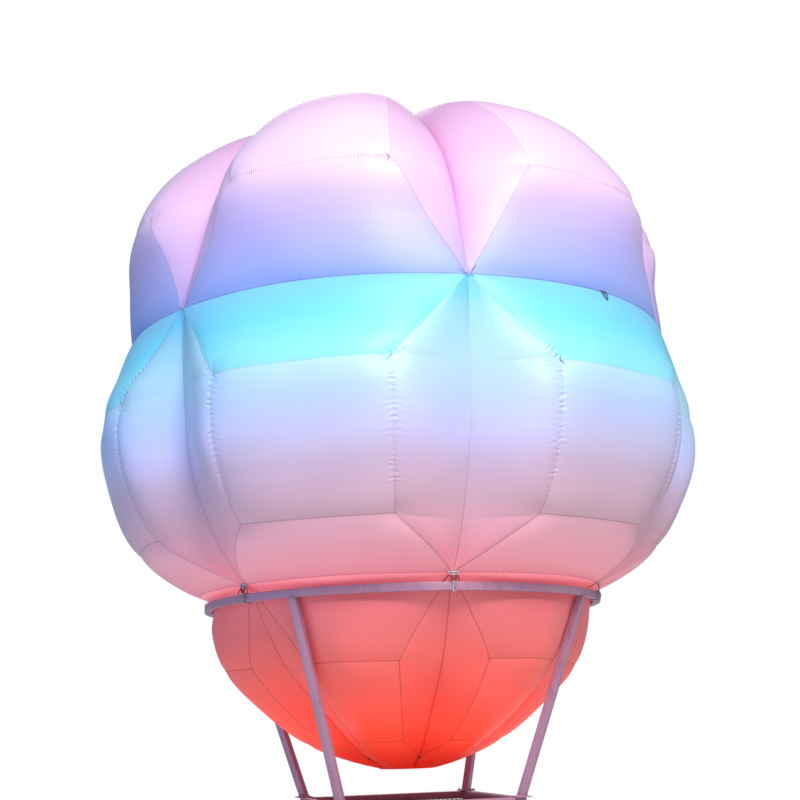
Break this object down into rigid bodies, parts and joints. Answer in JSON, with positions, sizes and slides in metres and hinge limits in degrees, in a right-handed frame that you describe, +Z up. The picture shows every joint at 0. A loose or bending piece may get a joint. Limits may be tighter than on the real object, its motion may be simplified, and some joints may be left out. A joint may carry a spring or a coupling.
{
  "type": "balloon-shaped display inflatable on a steel frame with a basket",
  "caption": "Lobed balloon-shaped inflatable tied into a square-tube hoop on four leaning legs, over a square woven basket, with an inlet fan in its base.",
  "frame": {"origin": "on the floor, under the middle of the basket", "axes": "+Z up; -Y towards the front, the side that the picture faces; +X to the right seen from the front"},
  "size_m": [3.1902, 3.1158, 4.8],
  "materials": {
    "crown_cloth": "satin coated cloth, pale pink above grading to violet blue at the seam",
    "belly_cloth": "satin coated cloth, cyan at the top grading through lavender to salmon pink",
    "base_cloth": "satin coated cloth, coral grading to orange red at the bottom",
    "frame_paint": "semi-gloss mauve grey paint",
    "webbing": "dark red woven webbing",
    "wicker": "woven willow, clear lacquer",
    "plywood": "sealed birch plywood",
    "black_plastic": "moulded, fine grain",
    "rubber": "matte"
  },
  "bodies": {
    "balloon": {"base_lobe_1": "base_cloth", "base_lobe_2": "base_cloth", "base_lobe_3": "base_cloth", "base_lobe_4": "base_cloth", "base_lobe_5": "base_cloth", "base_lobe_6": "base_cloth", "belly_lobe_1": "belly_cloth", "belly_lobe_2": "belly_cloth", "belly_lobe_3": "belly_cloth", "belly_lobe_4": "belly_cloth", "belly_lobe_5": "belly_cloth", "belly_lobe_6": "belly_cloth", "crown_lobe_1": "crown_cloth", "crown_lobe_2": "crown_cloth", "crown_lobe_3": "crown_cloth", "crown_lobe_4": "crown_cloth", "crown_lobe_5": "crown_cloth", "crown_lobe_6": "crown_cloth", "crown_cap": "crown_cloth", "hoop": "frame_paint", "leg_back_left": "frame_paint", "leg_back_right": "frame_paint", "leg_front_left": "frame_paint", "leg_front_right": "frame_paint", "leg_plate_back_left": "frame_paint", "leg_plate_back_right": "frame_paint", "leg_plate_front_left": "frame_paint", "leg_plate_front_right": "frame_paint", "waist_tie_1": "webbing", "waist_tie_2": "webbing", "waist_tie_3": "webbing", "waist_tie_4": "webbing", "waist_tie_5": "webbing", "waist_tie_6": "webbing", "rim_frame": "frame_paint", "post_back_left": "frame_paint", "post_back_right": "frame_paint", "post_front_left": "frame_paint", "post_front_right": "frame_paint", "bottom_frame": "frame_paint", "floor_beam": "frame_paint", "floor_board": "plywood", "woven_side_back": "wicker", "woven_side_front": "wicker", "woven_side_left": "wicker", "woven_side_right": "wicker", "foot_pad_back_left": "rubber", "foot_pad_back_right": "rubber", "foot_pad_front_left": "rubber", "foot_pad_front_right": "rubber", "fan_ring": "black_plastic", "fan_guard": "black_plastic", "fan_motor": "black_plastic"},
    "rotor": {"fan_rotor": "black_plastic"}
  },
  "joints": [
    {"name": "fan_spin", "type": "hinge", "parent": "balloon", "child": "rotor", "pos_m": [0, 0, 1.299], "axis": [0, 0, 1], "continuous": true}
  ]
}
